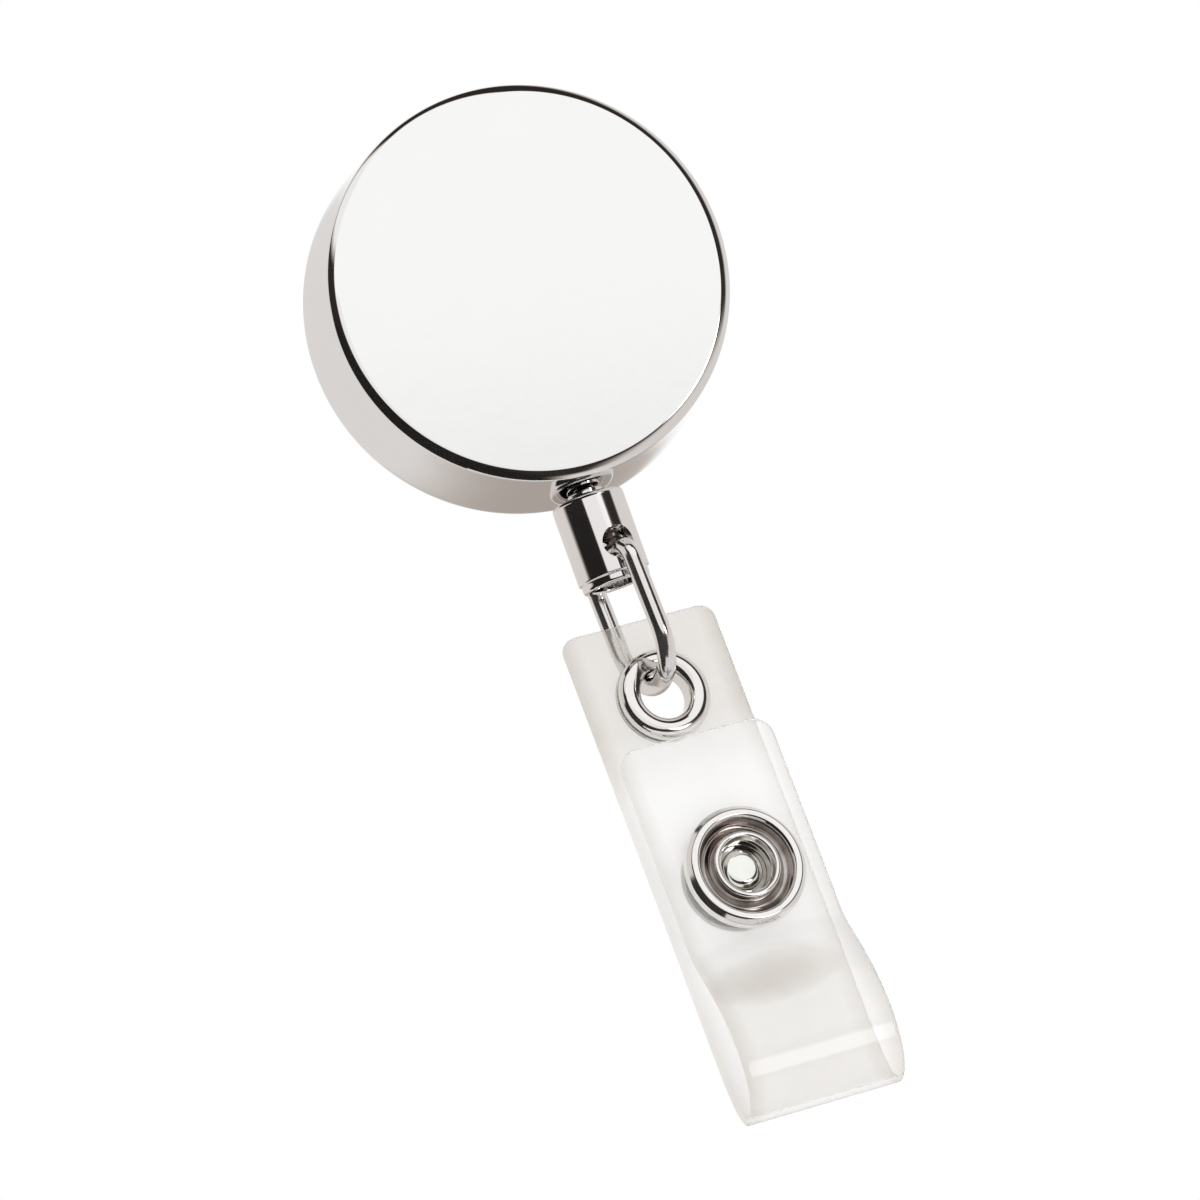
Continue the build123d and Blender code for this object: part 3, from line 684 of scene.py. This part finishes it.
def stop_bead():
    """The crimped brass bead, its sides dented by the crimping tool, its dark tone painted shade for the
    inside of the barrel's cross hole.
    """
    low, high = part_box("cord_stop")
    top, bottom, radius, dent_depth = high.z / MM, low.z / MM, 1.6, 0.22
    outline = [(0, top, 0), (radius, top, 0.4), (radius, bottom, 0.4), (0, bottom, 0)]
    piece = lathe("stop_crimp", supported(rounded(outline)), BARREL_AXIS, "Z", 96)
    middle = (top + bottom) / 2
    for vertex in piece.data.vertices:
        x, y, z = (vertex.co - Vector((0, AXIS_Y, 0))) / MM
        if math.hypot(x, y) > 1.0:
            around = max(0.0, math.cos(3 * math.atan2(y, x)))
            dent = dent_depth * around * math.exp(-((z - middle) / 0.5) ** 2)
            vertex.co.x -= dent * x / radius * MM
            vertex.co.y -= dent * y / radius * MM
    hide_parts("cord_stop")
    # The bead's dark brass tones are painted shade for the inside of the cross hole.
    brass = brushed("stop_brass", (0.22, 0.18, 0.13), (0.12, 0.10, 0.08), (1, 1, 4), (0.25, 0.42))
    clothe(piece, brass, "cord_end")


def link():
    """The bent wire link, whose ends meet inside the barrel."""
    half_w, wire_r, shoulder, gap = 3.85, 0.725, 1.2, 0.15
    bend_z = (LINK.inverted() @ joint_place("eyelet_rock")).z / MM
    side = [(-gap, 0, 0), (-half_w, 0, shoulder), (-half_w, bend_z, 0)]
    left = rounded(side, False, 14)
    low = arc((0, bend_z), half_w, 180, 360, 56)
    right = [Vector((-p.x, p.y)) for p in reversed(left)]
    line = evenly(left + low[1:-1] + right, 0.12)
    path = [Vector((0, p.x, p.y)) for p in line]
    piece = tube("link_wire", path, wire_r, LINK, 40)
    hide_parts("wire_link")
    clothe(piece, WIRE_CHROME, "link")


# ---------------------------------------------------------------- eyelet, strap and snap


def eyelet():
    """The eyelet, with its crowned front rim and rolled back rim, and its washer behind the strap."""
    half_t = STRAP_T / 2 + 0.03
    front, crown, barrel_r, rim_r, rim_half, steps = half_t + 0.95, 0.68, 2.35, 2.775, 0.825, 40
    roll = [Vector((rim_r - rim_half * math.cos(turn), crown - front - crown * math.sin(turn) ** 0.9))
            for turn in (math.pi * i / steps for i in range(steps + 1))]
    roll += [Vector((rim_r + rim_half, -half_t)), Vector((barrel_r, -half_t))]
    back = arc((2.525, half_t + 0.32), 0.575, 0, 180, 24)
    outline = roll + [Vector((barrel_r, half_t + 0.3))] + back
    piece = lathe("eyelet_rim", supported(outline), EYELET)
    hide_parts("eyelet")
    clothe(piece, NICKEL, "eyelet")
    washer = [(2.36, half_t, 0.05), (3.6, half_t, 0.12), (3.6, half_t + 0.3, 0.12),
              (2.36, half_t + 0.3, 0.05)]
    ring = lathe("eyelet_back_ring", supported(rounded(washer)), EYELET)
    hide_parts("eyelet_washer")
    clothe(ring, NICKEL, "eyelet")


STRAP_LINE = [(0, 6.2), (0, 3), (0, -3), (0, -9), (0, -16), (0.05, -22), (0.1, -26.5), (0.1, -29.3),
              (0, -31.3), (-0.35, -33.0), (-1.3, -33.75), (-2.7, -33.3), (-3.9, -31.9), (-4.45, -29.7),
              (-4.45, -27.3), (-4.0, -25.0), (-3.2, -22.9), (-2.45, -21.2), (-2.25, -20.2), (-2.4, -18.8),
              (-2.4, -15.5), (-2.4, -11), (-2.4, -7), (-2.4, -4.05)]


def dimple(x, place):
    """How far the flap is drawn in below the snap, in millimetres, at x across and (y, z) along the strap."""
    if place.x > -1.5:
        return 0.0
    return -0.85 * math.exp(-(x / 3.6) ** 2) * math.exp(-((place.y + 22.0) / 1.6) ** 2)


def strap():
    """The vinyl strip, one piece from the tab, round the fold and up to the flap's end."""
    line = evenly(b_spline(STRAP_LINE), 0.16)
    piece = strip("strap_strip", line, STRAP_W, STRAP_T, (1.2, 1.6), EYELET, 40, 0.07, dimple)
    bore(piece, EYELET, (0, 0, 0), 2.38, length=2.0)
    bore(piece, EYELET, (0, 0, -SNAP_BELOW_EYELET), 1.2, length=2.0)
    bore(piece, EYELET, (0, -2.4, -SNAP_BELOW_EYELET), 2.3, length=2.0)
    clothe(piece, VINYL, None)
    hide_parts("strap_panel", "strap_flap")
    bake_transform(piece)


def snap():
    """The ring snap: open ring and socket on the flap, stud and rivet cap on the back layer."""
    front = -2.65
    ring = [(2.0, -2.15, 0.02), (2.0, front - 0.8, 0.2), (2.25, front - 1.25, 0.2), (2.6, front - 1.25, 0.25),
            (2.85, front - 0.35, 0.3), (3.15, front - 0.12, 0.2), (3.45, front - 0.2, 0.25),
            (3.68, front - 1.0, 0.25), (3.86, front - 1.25, 0.25), (4.36, front - 1.25, 0.3),
            (4.75, front - 0.78, 0.35), (4.72, front, 0.06), (2.35, front, 0.03), (2.35, -2.15, 0.02)]
    piece = lathe("snap_ring", supported(rounded(ring)), SNAP)
    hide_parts("socket_ring")
    clothe(piece, SNAP_RING_NICKEL, "flap")
    cup = [(0, -2.86, 0), (1.1, -2.8, 0.7), (1.55, -2.52, 0.25), (1.62, -2.26, 0.08), (2.0, -2.26, 0.05),
           (2.0, -2.15, 0.02), (3.9, -2.15, 0.1), (3.9, -0.75, 0.3), (3.2, -0.75, 0.2), (3.0, -0.95, 0.15),
           (2.3, -0.95, 0.15), (2.05, -0.75, 0.1), (1.85, -0.85, 0.08), (1.85, -2.1, 0.2), (0, -2.4, 0)]
    piece = lathe("snap_cup", supported(rounded(cup)), SNAP)
    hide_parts("snap_socket")
    clothe(piece, SNAP_CUP_NICKEL, "flap")
    stud = [(0.9, -0.25, 0), (3.6, -0.25, 0.08), (3.6, -0.55, 0.15), (3.0, -0.7, 0.2), (1.6, -0.62, 0.15),
            (1.3, -0.8, 0.15), (1.3, -1.3, 0.15), (1.55, -1.55, 0.15), (1.5, -1.95, 0.25), (0.9, -2.0, 0.05)]
    piece = lathe("snap_stud_body", supported(rounded(stud)), SNAP, "Y", 128)
    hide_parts("snap_stud")
    clothe(piece, NICKEL, "strap")
    cap = [(0, 1.1, 0), (1.6, 1.05, 1.5), (3.3, 0.8, 1.2), (4.0, 0.42, 0.15), (4.0, 0.25, 0.06),
           (1.2, 0.25, 0.03), (1.2, -0.25, 0.05), (0.9, -0.25, 0.05), (0.9, -1.7, 0.1), (0, -1.7, 0)]
    piece = lathe("snap_cap", supported(rounded(cap)), SNAP)
    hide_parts("stud_post")
    clothe(piece, NICKEL, "strap")


# ---------------------------------------------------------------- CAD nodes that stay as they are


def dress_inside():
    """Materials for the sealed pieces, whose CAD shapes are right."""
    steel = brushed("post_steel", (0.62, 0.62, 0.63), (0.5, 0.5, 0.51), (1, 0.05, 1))
    nylon = moulded("washer_nylon", (0.85, 0.84, 0.80), (0.76, 0.75, 0.70))
    acetal = moulded("spool_acetal", (0.13, 0.13, 0.14), (0.09, 0.09, 0.10))
    stamped = brushed("stamped_steel", (0.66, 0.66, 0.67), (0.55, 0.55, 0.56), (0.1, 1, 1))
    blued = brushed("blued_spring", (0.42, 0.44, 0.48), (0.3, 0.31, 0.36), (1, 6, 1))
    drawn = brushed("drawn_wire", (0.6, 0.6, 0.6), (0.5, 0.5, 0.5), (1, 1, 1))
    for node, material in (
        ("axle_post", steel),
        ("thrust_washer", nylon),
        ("spool", acetal),
        ("spring_cover", stamped),
        ("mainspring", blued),
        ("cord_winding", WOUND_CORD),
        ("snap_spring", drawn),
    ):
        piece = frame["nodes"][node]
        piece.data.materials.clear()
        piece.data.materials.append(material)


# ---------------------------------------------------------------- light, floor and camera

WALL_LEVEL = 0.745
FLOOR_LOW = -0.78
FLOOR_HALF = 0.5
CAMERA_AZIMUTH = -14.2
CAMERA_ELEVATION = -8.0
CAMERA_ROLL = 19.7
CAMERA_DISTANCE = 600.0
AIM_RIGHT = 6.42
AIM_DOWN = 22.75
LENS = 236.3


def camera():
    """A long lens from below left, rolled, so that the reel hangs across the frame."""
    azimuth, elevation = math.radians(CAMERA_AZIMUTH), math.radians(CAMERA_ELEVATION)
    roll = math.radians(CAMERA_ROLL)
    back = Vector((math.sin(azimuth) * math.cos(elevation), -math.cos(azimuth) * math.cos(elevation),
                   math.sin(elevation)))
    level = (-back).cross(Vector((0, 0, 1))).normalized()
    upright = level.cross(-back)
    right = level * math.cos(roll) - upright * math.sin(roll)
    up = level * math.sin(roll) + upright * math.cos(roll)
    centre = Vector((0, -CASE_DEPTH / 2, 0))
    place = centre + right * AIM_RIGHT - up * AIM_DOWN + back * CAMERA_DISTANCE
    made = bpy.data.objects.new("camera", bpy.data.cameras.new("camera"))
    made.data.lens = LENS
    made.data.sensor_width = 36.0
    made.data.clip_start = 0.01
    made.data.clip_end = 50.0
    made.matrix_world = Matrix.Translation(place * MM) @ Matrix((right, up, back)).transposed().to_4x4()
    bpy.context.scene.collection.objects.link(made)
    bpy.context.scene.camera = made


class Studio(Graph):
    """The world's light as one level for each direction, built up from soft-edged round patches."""

    def __init__(self):
        world = bpy.data.worlds.new("studio")
        world.use_nodes = True
        bpy.context.scene.world = world
        super().__init__(world.node_tree)
        self.nodes.clear()
        self.place = self.nodes.new("ShaderNodeTexCoord")

    def towards(self, direction):
        """The cosine of the angle from a direction."""
        node = self.nodes.new("ShaderNodeVectorMath")
        node.operation = "DOT_PRODUCT"
        node.inputs[1].default_value = Vector(direction).normalized()
        self.links.new(self.place.outputs["Generated"], node.inputs[0])
        return node.outputs["Value"]

    def ramp(self, value, low, high, out_low, out_high):
        return self.band(value, low, high, out_low, out_high, "SMOOTHSTEP")

    def patch(self, direction, full, none):
        """1 inside an angle from a direction, 0 outside a wider one, in degrees."""
        cosines = math.cos(math.radians(none)), math.cos(math.radians(full))
        return self.ramp(self.towards(direction), *cosines, 0, 1)

    def blend(self, below, level, mask):
        """The level where the mask is 1, and what is below it where the mask is 0."""
        node = self.nodes.new("ShaderNodeMix")
        for socket, value in (("Factor", mask), ("A", below), ("B", level)):
            self.feed(node.inputs[socket], value)
        return node.outputs["Result"]


def studio():
    """A white window seen in the polished face, dark surrounds beside it, and pale walls behind.

    Only reflections see this room. The camera and light through the vinyl see plain white, and all else
    is lit softly, from below more than from above."""
    room = Studio()
    window, window_corner = (0.0398, -0.950, 0.309), (0.4455, -0.7716, 0.454)
    window_top = (0.0616, -0.7044, 0.7071)
    level = WALL_LEVEL
    for patch_level, direction, full, none in (
        (0.42, (0.18, 0.885, -0.42), 4, 32),
        (1.0, (0.243, 0.960, 0.139), 4, 16),
        (0.025, window, 60, 68),
        (0.92, (-0.30, -0.63, 0.716), 12, 19),
        (0.7, (0.66, -0.50, -0.56), 12, 32),
        (0.015, (-0.75, -0.35, -0.56), 48, 57),
    ):
        level = room.blend(level, patch_level, room.patch(direction, full, none))
    bright = room.ramp(room.towards((0.25, 0, 1)), 0.195, 0.235, 0.91, 1.04)
    pane = room.maths("MAXIMUM", room.patch(window, 29, 33), room.patch(window_corner, 16, 20))
    pane = room.maths("MAXIMUM", pane, room.patch(window_top, 15, 19))
    level = room.blend(level, bright, pane)
    level = room.blend(level, 5.0, room.patch((0.521, -0.841, -0.108), 5, 9))
    tone = room.nodes.new("ShaderNodeMix")
    tone.data_type = "RGBA"
    room.links.new(room.ramp(level, 0.3, 1.0, 0, 1), tone.inputs["Factor"])
    tone.inputs["A"].default_value = (1.0, 0.88, 0.80, 1)
    tone.inputs["B"].default_value = (1.0, 1.0, 1.0, 1)
    reflected = room.nodes.new("ShaderNodeBackground")
    room.links.new(level, reflected.inputs["Strength"])
    room.links.new(tone.outputs["Result"], reflected.inputs["Color"])
    path = room.nodes.new("ShaderNodeLightPath")
    seen = room.maths("MAXIMUM", path.outputs["Is Camera Ray"], path.outputs["Is Transmission Ray"])
    soft = room.blend(1.65, 0.3, room.patch((0, -0.35, 0.94), 30, 75))
    plain = room.nodes.new("ShaderNodeBackground")
    plain.inputs["Color"].default_value = (1, 1, 1, 1)
    room.links.new(room.blend(soft, 1.0, seen), plain.inputs["Strength"])
    mix = room.nodes.new("ShaderNodeMixShader")
    mirrored = room.maths("SUBTRACT", path.outputs["Is Glossy Ray"], path.outputs["Is Transmission Ray"])
    room.links.new(room.maths("MAXIMUM", mirrored, 0.0), mix.inputs["Fac"])
    room.links.new(plain.outputs["Background"], mix.inputs[1])
    room.links.new(reflected.outputs["Background"], mix.inputs[2])
    out = room.nodes.new("ShaderNodeOutputWorld")
    room.links.new(mix.outputs["Shader"], out.inputs["Surface"])


def floor():
    """A pale floor below the strap at its full reach."""
    bm = bmesh.new()
    bm.faces.new([bm.verts.new((x * FLOOR_HALF, y * FLOOR_HALF, FLOOR_LOW))
                  for x, y in ((-1, -1), (1, -1), (1, 1), (-1, 1))])
    piece = finish_mesh(bm, "floor")
    shader = Shader("floor_paper", (0.9, 0.9, 0.9), Roughness=0.8)
    shader.tint(shader.noise(6), (0.88, 0.88, 0.88), (0.92, 0.92, 0.92))
    piece.data.materials.append(shader.material)


case_shell()
back_plate()
belt_clip()
rivet()
bushing()
cord()
stop_bead()
barrel()
link()
eyelet()
strap()
snap()
dress_inside()
studio()
floor()
camera()
bpy.context.scene.view_settings.view_transform = "Standard"
